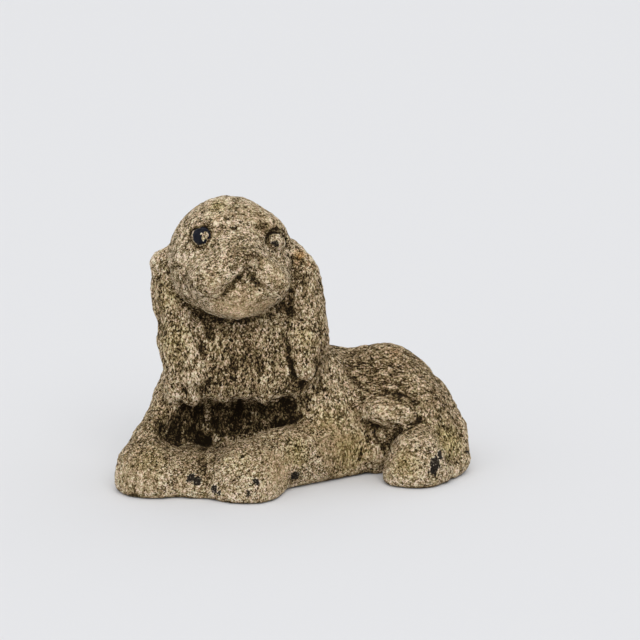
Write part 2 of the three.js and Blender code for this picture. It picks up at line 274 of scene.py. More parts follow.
class Shader:
    """A node material under construction."""

    def __init__(self, name: str) -> None:
        """Makes the material with its own output and principled surface.

        Args:
            name: The material's name.
        """
        self.material = bpy.data.materials.new(name)
        self.material.use_nodes = True
        self.tree = self.material.node_tree
        self.tree.nodes.clear()
        self.surface = self.node("ShaderNodeBsdfPrincipled")
        self.node("ShaderNodeOutputMaterial", {}, {"Surface": self.surface.out()})

    def node(self, kind: str, settings: dict | None = None, inputs: dict | None = None) -> Node:
        """Adds one node.

        Args:
            kind: The node's type.
            settings: Its settings by name. The stops of a ramp go under "stops".
            inputs: What its sockets hold, by name or place: numbers, tuples, values or sockets.

        Returns:
            The node.
        """
        made = self.tree.nodes.new(kind)
        for name, setting in (settings or {}).items():
            if name == "stops":
                self.set_stops(made.color_ramp, setting)
            else:
                setattr(made, name, setting)
        for name, given in (inputs or {}).items():
            self.fill(made.inputs[name], given)
        return Node(self, made)

    @staticmethod
    def set_stops(ramp: bpy.types.ColorRamp, stops: list[tuple[float, tuple]]) -> None:
        """Gives a ramp its stops.

        Args:
            ramp: The ramp of a Color Ramp node.
            stops: Pairs of place and colour, from low to high.
        """
        while len(ramp.elements) < len(stops):
            ramp.elements.new(1.0)
        for element, (place, colour) in zip(ramp.elements, stops):
            element.position = place
            element.color = (*colour, 1)

    def fill(self, socket: bpy.types.NodeSocket, given: Any) -> None:
        """Links a socket or sets it.

        Args:
            socket: The socket.
            given: A value or another socket to link, or a number or a tuple to set.
        """
        if isinstance(given, Value):
            self.tree.links.new(given.socket, socket)
        elif isinstance(given, bpy.types.NodeSocket):
            self.tree.links.new(given, socket)
        else:
            socket.default_value = given

    def layer(self, name: str) -> Value:
        """A number that the mesh carries at its points, by the attribute's name."""
        return self.node("ShaderNodeAttribute", {"attribute_name": name}).value("Fac")

    def blend(self, mask: Any, under: Any, over: Any, kind: str = "MIX") -> bpy.types.NodeSocket:
        """Mixes two colours.

        Args:
            mask: How much of the upper colour shows.
            under: The lower colour.
            over: The upper colour.
            kind: The way of mixing, such as MIX or MULTIPLY.

        Returns:
            The mixed colour.
        """
        settings = {"data_type": "RGBA", "blend_type": kind}
        inputs = {0: mask, 6: self.tone(under), 7: self.tone(over)}
        return self.node("ShaderNodeMix", settings, inputs).out(2)

    @staticmethod
    def tone(colour: Any) -> Any:
        """A colour tuple with its alpha, or a socket as it is."""
        return (*colour, 1) if isinstance(colour, tuple) and len(colour) == 3 else colour

    def finish(self, inputs: dict) -> bpy.types.Material:
        """Fills the sockets of the principled surface.

        Args:
            inputs: What its sockets hold, by name.

        Returns:
            The material.
        """
        for name, given in inputs.items():
            self.fill(self.surface.node.inputs[name], given)
        return self.material


@dataclass
class StoneSkin:
    """The statue's surface as arrays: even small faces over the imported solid, which the carving moves.

    Lengths are in metres. The solid is only read, and its copy is worked on. Below the ground band the
    skin stays level, the carving sets in over the ground rise, and no stroke or pit starts on the
    untooled sole.
    """

    voxel: float = 1.86 * MM
    facet_rounds: int = 12
    pull: float = 0.5
    push: float = -0.53
    ground_band: float = 1.2 * MM
    ground_rise: Pair = (0.2 * MM, 4 * MM)
    untooled: float = 1.5 * MM
    points: np.ndarray = field(default_factory=lambda: np.zeros((0, 3)))
    normals: np.ndarray = field(default_factory=lambda: np.zeros((0, 3)))
    edges: np.ndarray = field(default_factory=lambda: np.zeros((0, 2), int))
    triangles: np.ndarray = field(default_factory=lambda: np.zeros((0, 3), int))
    layers: dict[str, np.ndarray] = field(default_factory=dict)
    piece: bpy.types.Object | None = None

    def form(self, fine: Callable[[np.ndarray], np.ndarray]) -> None:
        """Lays even faces over the solid, makes them finer on the face and clears the facets.

        Args:
            fine: Tells from an array of points which of them lie where the faces are halved.
        """
        self.piece = bpy.data.objects.new(PIECE, self.solid_copy())
        bpy.context.scene.collection.objects.link(self.piece)
        even = self.even_faces()
        self.halve(even, fine)
        even.name = PIECE + "_fine"
        self.piece.data = even
        self.read()
        self.clear_facets()

    @staticmethod
    def solid_copy() -> bpy.types.Mesh:
        """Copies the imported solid's mesh and joins its doubled points.

        Returns:
            The copy.
        """
        shape = bmesh.new()
        shape.from_mesh(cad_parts[STATUE].data)
        bmesh.ops.remove_doubles(shape, verts=shape.verts, dist=1e-6)
        mesh = bpy.data.meshes.new(PIECE)
        shape.to_mesh(mesh)
        shape.free()
        return mesh

    def even_faces(self) -> bpy.types.Mesh:
        """Covers the piece's present mesh with even faces.

        Returns:
            The new mesh.
        """
        remesh = self.piece.modifiers.new("even_faces", "REMESH")
        remesh.mode = "VOXEL"
        remesh.voxel_size = self.voxel
        depsgraph = bpy.context.evaluated_depsgraph_get()
        even = bpy.data.meshes.new_from_object(self.piece.evaluated_get(depsgraph))
        self.piece.modifiers.clear()
        return even

    @staticmethod
    def halve(mesh: bpy.types.Mesh, fine: Callable[[np.ndarray], np.ndarray]) -> None:
        """Halves the faces of one part of a mesh and keeps the mesh closed.

        Args:
            mesh: The mesh.
            fine: Tells from an array of points which of them lie in that part.
        """
        shape = bmesh.new()
        shape.from_mesh(mesh)
        middles = np.array([face.calc_center_median() for face in shape.faces])
        chosen = np.flatnonzero(fine(middles))
        shape.faces.ensure_lookup_table()
        borders = {edge for index in chosen for edge in shape.faces[index].edges}
        in_order = sorted(borders, key=lambda edge: edge.index)
        bmesh.ops.subdivide_edges(shape, edges=in_order, cuts=1, use_grid_fill=True)
        bmesh.ops.triangulate(shape, faces=[face for face in shape.faces if len(face.verts) > 4])
        mesh.clear_geometry()
        shape.to_mesh(mesh)
        shape.free()

    def read(self) -> None:
        """Reads the arrays from the mesh."""
        mesh = self.piece.data
        mesh.calc_loop_triangles()
        self.points = np.zeros(len(mesh.vertices) * 3)
        mesh.vertices.foreach_get("co", self.points)
        self.points = self.points.reshape(-1, 3)
        self.edges = np.zeros(len(mesh.edges) * 2, int)
        mesh.edges.foreach_get("vertices", self.edges)
        self.edges = self.edges.reshape(-1, 2)
        self.triangles = np.zeros(len(mesh.loop_triangles) * 3, int)
        mesh.loop_triangles.foreach_get("vertices", self.triangles)
        self.triangles = self.triangles.reshape(-1, 3)
        self.turn_normals()

    def turn_normals(self) -> None:
        """Works the normals out from the triangles."""
        a, b, c = (self.points[self.triangles[:, corner]] for corner in range(3))
        facing = np.cross(b - a, c - a)
        total = np.zeros_like(self.points)
        for axis in range(3):
            for corner in range(3):
                total[:, axis] += np.bincount(self.triangles[:, corner], facing[:, axis], len(total))
        self.normals = unit(total)

    def scattered(self, chance: np.random.Generator, count: int) -> np.ndarray:
        """Points picked with even chances over the stone's area, above its underside.

        Args:
            chance: The seeded source of the picks.
            count: How many.

        Returns:
            The points' indices.
        """
        a, b, c = (self.points[self.triangles[:, corner]] for corner in range(3))
        area = np.linalg.norm(np.cross(b - a, c - a), axis=1)
        share = sum(np.bincount(self.triangles[:, corner], area, len(self.points)) for corner in range(3))
        share[self.points[:, 2] < self.untooled] = 0
        return chance.choice(len(self.points), count, p=share / share.sum())

    def evened(self, values: np.ndarray, rounds: int, share: float = 0.5) -> np.ndarray:
        """Values drawn towards those of their neighbours.

        Args:
            values: One number or one row of numbers for each point.
            rounds: How often.
            share: How far towards the neighbours' mean each time.

        Returns:
            The evened values.
        """
        rows = values.reshape(len(values), -1)
        first, second = self.edges.T
        size = len(rows)
        count = np.maximum(np.bincount(self.edges.ravel(), minlength=size), 1)
        for _ in range(rounds):
            sums = [
                np.bincount(first, column[second], size) + np.bincount(second, column[first], size)
                for column in rows.T
            ]
            rows = rows + share * (np.stack(sums, 1) / count[:, None] - rows)
        return rows.reshape(values.shape)

    def clear_facets(self) -> None:
        """Smooths the solid's facets away and keeps its volume and its flat underside."""
        low = self.points[:, 2] < self.ground_band
        for _ in range(self.facet_rounds):
            for share in (self.pull, self.push):
                moved = self.evened(self.points, 1, share)
                moved[low, 2] = self.points[low, 2]
                self.points = moved
        self.turn_normals()

    def soften(self, mask: np.ndarray, rounds: int) -> None:
        """Draws the marked points into their neighbours, as worn stone.

        Args:
            mask: From 0 to 1 for each point, how far it gives.
            rounds: How often.
        """
        for _ in range(rounds):
            self.points += mask[:, None] * (self.evened(self.points, 1) - self.points)
        self.turn_normals()

    def raise_by(self, height: np.ndarray) -> None:
        """Moves each point along its normal and keeps the underside flat.

        Args:
            height: How far, for each point, with hollows below zero.
        """
        shift = self.normals * height[:, None]
        shift[:, 2] *= step(self.points[:, 2], *self.ground_rise)
        self.points += shift
        self.points[:, 2] = np.maximum(self.points[:, 2], 0)
        self.turn_normals()

    def add_dirt_and_shade(self, cover: np.ndarray) -> None:
        """Adds dirt and painted shade to what lies on the points already, and the heavier one counts."""
        before = self.layers.get("dirt_and_shade", np.zeros(len(self.points)))
        self.layers["dirt_and_shade"] = np.maximum(before, cover)

    def tree(self) -> BVHTree:
        """A search tree of the surface as it is now."""
        return BVHTree.FromPolygons(self.points.tolist(), self.triangles.tolist())

    def neighbours(self) -> KDTree:
        """Makes a search tree of the points as they are now.

        Returns:
            The tree, balanced.
        """
        search = KDTree(len(self.points))
        for index, point in enumerate(self.points):
            search.insert(point, index)
        search.balance()
        return search

    def write(self) -> bpy.types.Object:
        """Writes the points and the layers to the mesh.

        Returns:
            The finished piece.
        """
        mesh = self.piece.data
        mesh.vertices.foreach_set("co", self.points.astype(np.float32).ravel())
        for name, values in self.layers.items():
            layer = mesh.attributes.new(name, "FLOAT", "POINT")
            layer.data.foreach_set("value", values.astype(np.float32))
        mesh.polygons.foreach_set("use_smooth", [True] * len(mesh.polygons))
        mesh.update()
        return self.piece


@dataclass(frozen=True)
class HeadAxes:
    """The head's own axes: x to the puppy's left, y back into the skull, z up. Places are in millimetres."""

    centre: Triple = (-57.5, 4.7, 196.5)
    roll: float = 6.5
    tilt: float = -20.0
    turn: float = 13.0
    face_front: float = -18.0
    face_half: float = 44.0
    face_span: Pair = (-50.0, 26.0)

    def rotation(self) -> np.ndarray:
        """The turn from the head's axes to the scene's.

        Returns:
            A matrix with the head's axes as columns.
        """
        about_z = Matrix.Rotation(math.radians(self.turn), 3, "Z")
        about_x = Matrix.Rotation(math.radians(self.tilt), 3, "X")
        about_y = Matrix.Rotation(math.radians(self.roll), 3, "Y")
        return np.array(about_z @ about_x @ about_y)

    def local(self, points: np.ndarray) -> np.ndarray:
        """Scene points, in metres, as places from the head's centre, in millimetres."""
        return (points / MM - np.array(self.centre)) @ self.rotation()

    def is_face(self, points: np.ndarray) -> np.ndarray:
        """Tells where the eyes, nose, mouth and chin are.

        Args:
            points: Scene points, in metres.

        Returns:
            True for each point of the face.
        """
        side, back, up = self.local(points).T
        low, high = self.face_span
        return (back < self.face_front) & (np.abs(side) < self.face_half) & (up > low) & (up < high)


@dataclass(frozen=True)
class Eye:
    """One eye: a ball under a lid, cut by a groove, with painted shadow under the upper lid. Pixels are in
    the photograph, lengths in millimetres.
    """

    across: float
    down: float
    ball: float = 7.8
    dome: float = 1.5
    groove: float = 2.0
    groove_depth: float = 1.1
    lid: float = 1.0
    width: float = 1.0
    roundness: float = 0.8
    # How dark the painted shadow under the upper lid is.
    lid_shadow: float = 0.95

    def carve(self, skin: StoneSkin, centre: np.ndarray, axes: np.ndarray) -> np.ndarray:
        """The height of the eye over the skin.

        Args:
            skin: The stone's surface.
            centre: The eye's middle on the surface, in metres.
            axes: The head's axes as columns.

        Returns:
            A height for each point, in metres.
        """
        place = (skin.points - centre) / MM
        side = place @ axes[:, 0] / self.width
        up = place @ axes[:, 2]
        reach = np.hypot(side, up)
        near = np.linalg.norm(place, axis=1) < 4 * self.ball
        above = step(up / np.maximum(reach, 0.1), -0.9, 0.7)
        ball = self.dome * np.clip(1 - (reach / (self.ball + 0.4)) ** 2, 0, 1) ** self.roundness
        rim = fade(np.abs(reach - self.ball - self.groove / 2), self.groove)
        ring = -self.groove_depth * rim * (0.4 + 0.6 * above)
        lids = self.lid * fade(np.abs(reach - self.ball - 2.0 * self.groove), 1.6 * self.groove)
        # Painted shadow under the upper lid, in the groove, mostly on its upper side.
        skin.add_dirt_and_shade(near * self.lid_shadow * rim * above * (reach < self.ball + self.groove * 1.5))
        return near * (ball + ring + lids * (0.5 + 0.5 * above)) * MM


@dataclass(frozen=True)
class Groove:
    """A carved line, drawn through pixels of the photograph. Lengths are in millimetres.

    Its name says for the reader which line of the figure it is.
    """

    name: str
    route: tuple[Pair, ...]
    half: float
    depth: float
    # How much the line is darkened: dirt and painted shade in the crease.
    dirt_and_shade: float = 0.0


@dataclass(frozen=True)
class Mark:
    """A spot of the surface, placed by a pixel of the photograph. Lengths are in millimetres.

    Its strength says how far a swell rises, or how strongly a stain, painted shade or painted highlight
    shows, from 0 to 1.
    """

    across: float
    down: float
    radius: float
    strength: float = 1.0
    depth: float = 0.0


def marks(*rows: tuple[float, ...]) -> tuple[Mark, ...]:
    """Marks from rows of across, down, radius, strength and depth."""
    return tuple(Mark(*row) for row in rows)


class Weather(Enum):
    """The kinds of stain and wear that lie on the stone, with the painted shade and painted highlight laid
    among them.
    """

    ALGAE = "algae"
    SOOT_AND_SHADE = "soot"
    BARE_AND_HIGHLIGHT = "bare"
    RUST = "rust"
    SHADE_AND_STAIN = "dark"
    BLACK = "black"


@dataclass
class Sight:
    """Finds places on the skin from pixels of the photograph."""

    camera: PhotoCamera
    skin: StoneSkin
    search: BVHTree | None = None

    def look(self) -> None:
        """Takes the skin as it is now."""
        self.search = self.skin.tree()

    def place(self, across: float, down: float) -> np.ndarray:
        """The point of the surface that a pixel shows, or the nearest one beside its edge.

        Args:
            across: Pixels from the photograph's left edge.
            down: Pixels from its top edge.

        Returns:
            The point in metres.
        """
        origin, aim = self.camera.ray(across, down)
        hit = self.search.ray_cast(origin, aim)[0]
        if hit is None:
            hit = self.search.find_nearest(origin + aim * origin.length)[0]
        return np.array(hit)

    def gap(self, mark: Mark) -> np.ndarray:
        """How far each point of the skin lies from a mark's middle, in metres."""
        return np.linalg.norm(self.skin.points - self.place(mark.across, mark.down), axis=1)

    def distance(self, route: tuple[Pair, ...]) -> np.ndarray:
        """How far each point of the skin lies from a line.

        Args:
            route: The pixels that the line goes through.

        Returns:
            The distances in metres.
        """
        stops = np.array([self.place(*stop) for stop in route])
        best = np.full(len(self.skin.points), np.inf)
        for start, end in zip(stops[:-1], stops[1:]):
            along = end - start
            share = np.clip((self.skin.points - start) @ along / (along @ along), 0, 1)
            gap = np.linalg.norm(self.skin.points - start - share[:, None] * along, axis=1)
            best = np.minimum(best, gap)
        return best


def cut_along(grooves: tuple[Groove, ...], skin: StoneSkin, sight: Sight) -> np.ndarray:
    """How deep the carved lines go, and where lines meet the deeper one counts.

    Args:
        grooves: The lines.
        skin: The stone's surface, which takes their dirt and painted shade.
        sight: Finds the lines' places.

    Returns:
        A depth for each point, in metres.
    """
    deep = np.zeros(len(skin.points))
    for groove in grooves:
        cut = fade(sight.distance(groove.route), groove.half * MM)
        deep = np.maximum(deep, groove.depth * MM * cut)
        skin.add_dirt_and_shade(groove.dirt_and_shade * cut)
    return deep


@dataclass
class Face:
    """The puppy's face: eyes, the crease at the brow, the nose, the mouth and the chin."""

    axes: HeadAxes = field(default_factory=HeadAxes)
    painted_eye: Eye = Eye(201.0, 235.0, ball=7.5)
    bare_eye: Eye = Eye(278.5, 240.5, ball=7.2, dome=1.2, width=1.3)
    # Each line's last number darkens it: dirt and painted shade in the crease, and painted shadow under the
    # eyes' lids.
    grooves: tuple[Groove, ...] = (
        Groove("philtrum", ((248, 265), (246, 272)), 3.0, 0.8, 0.2),
        Groove("left lip", ((246, 271), (238.5, 278), (231, 287), (224, 295)), 4.0, 1.5, 0.5),
        Groove("right lip", ((246, 271), (252, 278), (262, 286), (272, 292)), 4.0, 1.4, 0.5),
        Groove("left of the chin", ((205, 293), (213, 299), (226, 301), (237, 297)), 3.0, 1.2, 0.15),
        Groove("right of the chin", ((256, 297), (266, 301), (280, 299), (291, 291)), 3.0, 1.2, 0.15),
        Groove("brow crease", ((212, 232), (222, 228), (236, 229), (252, 229), (264, 231)), 4.0, 0.6, 0.05),
        Groove(
            "right eye's lid", ((266, 243), (266.5, 236), (270.5, 230), (277, 228), (284, 231)),
            1.9, 0.8, 0.85,
        ),
        Groove("left eye's lid", ((191, 241), (195, 246), (201, 247.5), (207, 245)), 1.7, 0.6, 0.55),
        Groove("left cheek", ((214, 243), (204, 254), (199, 266), (197, 280), (199, 290)), 4.0, 1.0, 0.12),
        Groove("right cheek", ((266, 250), (279, 259), (290, 271), (295, 282)), 4.0, 0.8, 0.1),
        Groove("left of the nose", ((236, 246), (230, 256), (233, 266), (240, 272)), 3.0, 0.5, 0.15),
        Groove("right of the nose", ((262, 246), (266, 256), (260, 266), (252, 272)), 3.0, 0.5, 0.15),
        Groove("under the jaw", ((210, 317), (226, 321), (246, 321), (268, 317), (286, 306)), 3.0, 0.5, 0.1),
    )

    muzzle_rounds: int = 8
    chip_wave: float = 2.6

    def smooth_muzzle(self, skin: StoneSkin) -> None:
        """Takes the solid's coarse eyes and lips down, where the fine ones are carved.

        The bounds are in millimetres along the head's axes.

        Args:
            skin: The stone's surface.
        """
        side, back, up = self.axes.local(skin.points).T
        mask = step(-back, 20, 30) * step(up, -56, -48) * (1 - step(up, 24, 32))
        skin.soften(mask * (1 - step(np.abs(side), 40, 46)), self.muzzle_rounds)

    def carve(self, skin: StoneSkin, sight: Sight) -> None:
        """Cuts the eyes and the lines of the face.

        Args:
            skin: The stone's surface.
            sight: Finds places from pixels.
        """
        turn = self.axes.rotation()
        height = np.zeros(len(skin.points))
        for eye in (self.painted_eye, self.bare_eye):
            height += eye.carve(skin, sight.place(eye.across, eye.down), turn)
        skin.raise_by(height - cut_along(self.grooves, skin, sight))

    def paint(self, skin: StoneSkin, sight: Sight) -> np.ndarray:
        """Where the old black paint of one eye is left, with one chip near its middle and one below. On the
        upper side the black reaches into the lid's groove as painted shadow under the lid.

        Args:
            skin: The stone's surface.
            sight: Finds places from pixels.

        Returns:
            From 0 to 1 for each point.
        """
        eye = self.painted_eye
        turn = self.axes.rotation()
        place = (skin.points - sight.place(eye.across, eye.down)) / MM
        side = place @ turn[:, 0]
        up = place @ turn[:, 2]
        # On the upper side the black reaches 1.3 mm further: painted shadow under the lid.
        rim = eye.ball + 1.3 * step(up + 0.5 * side, -2.0, 5.0)
        reach = np.maximum(np.hypot(side, up), 0.8 * np.linalg.norm(place, axis=1))
        ball = 1 - step(reach - rim, -0.4, 0.8)
        ragged = wander(skin.points, self.chip_wave)
        black_cover = fade(np.hypot(side - 3.4 + 2.6 * ragged, 0.8 * up + 0.8 - 2.2 * ragged), 4.7)
        lower = fade(np.hypot(side - 1.5, up + 9.2 + 2 * ragged), 3.6)
        return ball * (1 - step(black_cover + lower, 0.12, 0.4))


@dataclass
class Modelling:
    """Forms worked over the solid before the fur: fuller places, worn hollows and the ears' outlines."""

    swells: tuple[Mark, ...] = marks(
        (227, 206, 54, 4.6), (280, 226, 27, 3.2), (151, 297, 18, -4.5), (155, 322, 22, -5),
        (289, 322, 10, 3.5), (202, 322, 10, 3), (208, 288, 17, 2.4), (286, 284, 16, 2.6),
        (248, 294, 20, 1.8), (246, 308, 20, 1.5), (222, 274, 18, 2), (268, 272, 18, 2), (248, 258, 14, 1),
        (290, 368, 10, 3.5), (155, 262, 15, 4.5), (298, 242, 11, -3), (291, 246, 12, 2),
        (240, 312, 24, 1.6), (305, 368, 17, 2), (388, 478, 26, 4), (376, 454, 17, 6), (377, 469, 15, 5),
        (447, 473, 14, 5), (449, 444, 18, 6), (386, 348, 40, 4.5), (262, 497, 30, 4), (222, 447, 16, 2.5),
        (180, 395, 12, 1.5), (240, 408, 26, -4), (190, 412, 20, -3.5), (285, 405, 20, -2.5),
        (204, 436, 11, -1.5),
    )
    worn: tuple[Mark, ...] = marks(
        (247, 276, 9), (446, 446, 26), (430, 428, 14), (416, 414, 14), (398, 392, 15), (408, 430, 12),
        (377, 456, 22), (364, 410, 14), (289, 335, 13), (289, 358, 13), (293, 312, 14), (292, 296, 10),
        (196, 312, 13), (206, 328, 14), (186, 298, 9), (214, 372, 16), (214, 350, 10), (294, 395, 16),
        (312, 396, 14),
    )
    # Each line's last number darkens it: dirt and painted shade in the crease.
    outlines: tuple[Groove, ...] = (
        Groove("near ear's edge", ((291, 300), (289, 330), (289, 360)), 5.0, 0.5, 0.3),
        Groove("near ear's tip", ((289, 360), (294, 377), (304, 385), (315, 378), (321, 366)), 3.8, 2.2, 0.6),
        Groove("far ear", ((176, 266), (180, 284), (190, 303), (203, 320), (212, 338)), 5.0, 0.5, 0.4),
        Groove("far ear's end", ((181, 388), (187, 398), (192, 410)), 3.6, 1.2, 0.2),
        Groove("hind foot", ((381, 449), (388, 442), (398, 433), (409, 427), (420, 420)), 3.6, 1.3, 0.12),
        Groove("over the knee", ((376, 395), (390, 391), (404, 394), (416, 402)), 3.6, 1.0, 0.35),
        Groove(
            "between the paws", ((209, 440), (204, 449), (201, 460), (203, 472), (208, 483)),
            6.0, 1.1, 0.08,
        ),
        Groove("near forearm", ((207, 446), (220, 434), (250, 430), (280, 425), (300, 416)), 3.4, 1.0, 0.5),
    )
    worn_rounds: int = 70
    foot_rise: Pair = (1 * MM, 6 * MM)

    def work(self, skin: StoneSkin, sight: Sight) -> None:
        """Wears, fills and cuts these forms.

        Args:
            skin: The stone's surface.
            sight: Finds places from pixels.
        """
        mask = np.zeros(len(skin.points))
        for mark in self.worn:
            mask = np.maximum(mask, fade(sight.gap(mark), mark.radius * MM))
        skin.soften(mask * step(skin.points[:, 2], *self.foot_rise), self.worn_rounds)
        sight.look()
        height = np.zeros(len(skin.points))
        for mark in self.swells:
            height += mark.strength * fade(sight.gap(mark), mark.radius * MM)
        skin.raise_by(height * MM - cut_along(self.outlines, skin, sight))


@dataclass(frozen=True)
class FurLay:
    """Which way the fur lies near a named place, in millimetres, and how deep it is tooled there."""

    name: str
    at: Triple
    along: Triple
    depth: float


@dataclass(frozen=True)
class Tooling:
    """One size of gouge stroke, with its lowest and highest measures. Lengths are in millimetres."""

    count: int
    length: Pair
    half: Pair
    depth: Pair
    sway: float
    seed: int


@dataclass
class Fur:
    """The fur, tooled into the clay as short strokes that follow the coat."""

    lays: tuple[FurLay, ...] = (
        FurLay("mane under the chin", (-52, -46, 139), (0, -0.2, -1), 1.0),
        FurLay("mane near the tufts", (-40, -41, 101), (0.05, -0.1, -1), 1.25),
        FurLay("mane beside the far ear", (-80, -38, 110), (-0.15, -0.1, -1), 1.1),
        FurLay("mane beside the near ear", (-8, -34, 112), (0.15, -0.1, -1), 1.1),
        FurLay("far ear", (-113, -5, 152), (0.1, -0.25, -1), 0.9),
        FurLay("far ear's end", (-101, -26, 101), (0.15, -0.2, -1), 1.1),
        FurLay("near ear", (14, 0, 152), (0.05, -0.2, -1), 0.9),
        FurLay("near ear's end", (11, -20, 106), (-0.1, -0.2, -1), 1.0),
        FurLay("nape", (-27, 60, 152), (0.3, 0.3, -1), 0.9),
        FurLay("far shoulder", (-103, 45, 91), (0.1, 0, -1), 0.8),
        FurLay("near shoulder", (24, -10, 92), (0.5, -0.2, -1), 0.8),
        FurLay("upper arm", (28, -22, 40), (-0.35, -0.3, -1), 0.6),
        FurLay("near forearm", (-9, -46, 25), (-0.8, -0.6, -0.15), 0.55),
        FurLay("near paw", (-47, -81, 20), (-0.5, -1, -0.4), 0.45),
        FurLay("far paw", (-128, -66, 20), (-0.5, -0.8, -0.6), 0.6),
        FurLay("far foreleg", (-115, -16, 56), (-0.5, -0.5, -0.9), 0.8),
        FurLay("middle of the back", (36, 40, 96), (1, 0, -0.15), 0.8),
        FurLay("rump", (84, 40, 101), (1, -0.2, -0.2), 0.8),
        FurLay("end of the rump", (137, 40, 55), (0.3, -0.1, -1), 0.8),
        FurLay("near flank", (54, -6, 51), (0.7, -0.1, -0.8), 0.6),
        FurLay("haunch", (112, -16, 66), (0.7, 0, -0.8), 0.8),
        FurLay("knee", (87, -27, 58), (1, 0, -0.2), 0.7),
        FurLay("hind foot", (110, -41, 20), (-0.5, -0.6, -0.5), 0.45),
        FurLay("tail", (146, 4, 26), (0, -0.5, -0.8), 0.7),
        FurLay("back of the body", (36, 96, 51), (0.8, 0, -0.6), 0.8),
        FurLay("back of the rump", (90, 96, 51), (0.6, 0, -0.8), 0.8),
        FurLay("top of the skull", (-52, 22, 246), (0.1, 1, 0), 0.3),
        FurLay("back of the skull", (-47, 60, 213), (0, 0.4, -1), 0.6),
        FurLay("muzzle", (-58, -56, 188), (0, 1, 0.4), 0.1),
        FurLay("near cheek", (-22, -32, 185), (0.3, 0.8, -0.3), 0.12),
        FurLay("far cheek", (-92, -25, 185), (-0.3, 0.8, -0.3), 0.12),
        FurLay("jaw", (-60, -42, 158), (1, 0, 0), 0.1),
    )
    sizes: tuple[Tooling, ...] = (
        Tooling(700, (26, 44), (3.4, 5.0), (0.7, 1.2), 0.16, 11),
        Tooling(7500, (8, 18), (1.3, 2.2), (0.5, 1.15), 0.28, 12),
    )
    closeness: float = 4.0
    blur: float = 8.0
    full_depth: float = 1.4
    taper: float = 0.7
    facing: float = 0.2

    def flow(self, skin: StoneSkin) -> tuple[np.ndarray, np.ndarray]:
        """The lie of the coat over the whole skin.

        Args:
            skin: The stone's surface.

        Returns:
            A direction along the surface and a share of depth, for each point.
        """
        total = np.zeros_like(skin.points)
        depth = np.zeros(len(skin.points))
        weights = np.zeros(len(skin.points))
        for lay in self.lays:
            gap = np.linalg.norm(skin.points - np.array(lay.at) * MM, axis=1) / MM
            weight = 1 / (gap + self.blur) ** self.closeness
            total += weight[:, None] * unit(np.array(lay.along, float))
            depth += weight * lay.depth
            weights += weight
        along = total - skin.normals * np.sum(total * skin.normals, axis=1, keepdims=True)
        return unit(along), depth / weights

    def tool(self, skin: StoneSkin) -> np.ndarray:
        """Cuts all strokes.

        Args:
            skin: The stone's surface.

        Returns:
            How deep each point is cut, from 0 to about 1.
        """
        along, depth = self.flow(skin)
        search = skin.neighbours()
        cut = np.zeros(len(skin.points))
        for size in self.sizes:
            cut += self.strokes(skin, search, along, depth, size)
        skin.raise_by(-cut * MM)
        return np.clip(cut / self.full_depth, 0, 1)

    def strokes(
        self, skin: StoneSkin, search: KDTree, along: np.ndarray, depth: np.ndarray, size: Tooling
    ) -> np.ndarray:
        """Cuts the strokes of one size, and where strokes cross the deeper one counts.

        Args:
            skin: The stone's surface.
            search: A search tree of its points.
            along: The lie of the coat at each point.
            depth: The share of depth at each point.
            size: The strokes' size.

        Returns:
            How deep each point is cut, in millimetres.
        """
        chance = np.random.default_rng(size.seed)
        cut = np.zeros(len(skin.points))
        for start in skin.scattered(chance, size.count):
            length = chance.uniform(*size.length) / 2
            half = chance.uniform(*size.half)
            deep = chance.uniform(*size.depth) * depth[start]
            sway = chance.normal(0, size.sway)
            found = search.find_range(skin.points[start], length * MM)
            near = np.array([index for _, index, _ in found])
            place = (skin.points[near] - skin.points[start]) / MM
            across = np.cross(skin.normals[start], along[start])
            heading = math.cos(sway) * along[start] + math.sin(sway) * across
            side = np.cross(skin.normals[start], heading)
            run = place @ heading / length
            out = place @ side / half
            groove = np.clip(1 - out * out, 0, 1) * np.clip(1 - run * run, 0, 1) ** self.taper
            groove *= skin.normals[near] @ skin.normals[start] > self.facing
            cut[near] = np.maximum(cut[near], deep * groove)
        return cut


@dataclass
class Grain:
    """The sandy, pitted texture of old cast stone. Lengths are in millimetres."""

    waves: tuple[Pair, ...] = ((16.0, 0.8), (6.5, 0.5), (3.2, 0.42))
    pits: int = 1500
    pit_radius: Pair = (1.3, 3.0)
    pit_depth: Pair = (0.3, 1.1)
    seed: int = 21

    def roughen(self, skin: StoneSkin) -> np.ndarray:
        """Adds the waves and pits of the grain.

        Args:
            skin: The stone's surface.

        Returns:
            How deep each point lies in a pit, from 0 to about 1.
        """
        height = np.zeros(len(skin.points))
        for length, rise in self.waves:
            height += rise * wander(skin.points, length)
        chance = np.random.default_rng(self.seed)
        search = skin.neighbours()
        pitted = np.zeros(len(skin.points))
        for start in skin.scattered(chance, self.pits):
            radius = chance.uniform(*self.pit_radius) * MM
            deep = chance.uniform(*self.pit_depth)
            found = search.find_range(skin.points[start], radius)
            near = np.array([index for _, index, _ in found])
            gap = np.array([distance for _, _, distance in found])
            pitted[near] = np.maximum(pitted[near], deep * fade(gap, radius))
        skin.raise_by((height - pitted) * MM)
        return np.clip(pitted, 0, 1)


